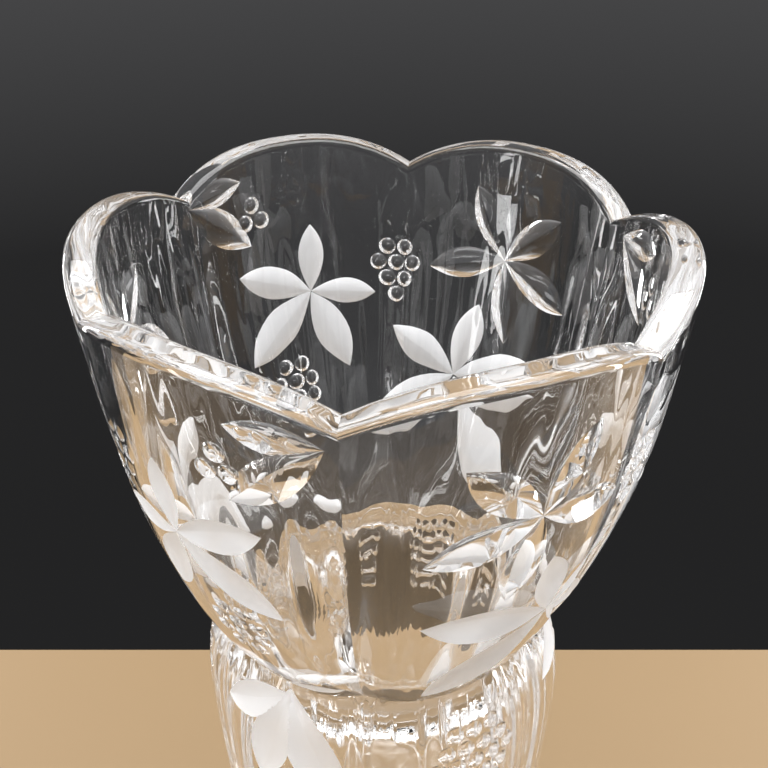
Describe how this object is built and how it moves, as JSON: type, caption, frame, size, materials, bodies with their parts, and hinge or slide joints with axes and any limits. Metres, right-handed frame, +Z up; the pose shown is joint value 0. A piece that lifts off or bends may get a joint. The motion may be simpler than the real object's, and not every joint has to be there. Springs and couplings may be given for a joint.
{
  "type": "flower vase",
  "caption": "Tall scalloped crystal flower vase: flared six-lobed bowl on a lobed barrel, with frosted and polished flower cuts and grape bunches.",
  "frame": {"origin": "centre of the base, on the surface the vase stands on", "axes": "+Z up along the vase's axis; +X through the middle of a lobe; a rim notch lies at -Y, the front"},
  "size_m": [0.1536, 0.1512, 0.25],
  "materials": {
    "clear_crystal": "clear and glossy, looks fire polished",
    "frosted_crystal": "satin, looks acid frosted"
  },
  "bodies": {
    "root": {"bowl": "clear_crystal", "barrel": "clear_crystal", "frosted_flower_high_1": "frosted_crystal", "frosted_flower_high_2": "frosted_crystal", "frosted_flower_high_3": "frosted_crystal", "frosted_flower_low_1": "frosted_crystal", "frosted_flower_low_2": "frosted_crystal", "frosted_flower_low_3": "frosted_crystal", "frosted_flower_waist_1": "frosted_crystal", "frosted_flower_waist_2": "frosted_crystal", "frosted_flower_waist_3": "frosted_crystal"}
  },
  "joints": []
}
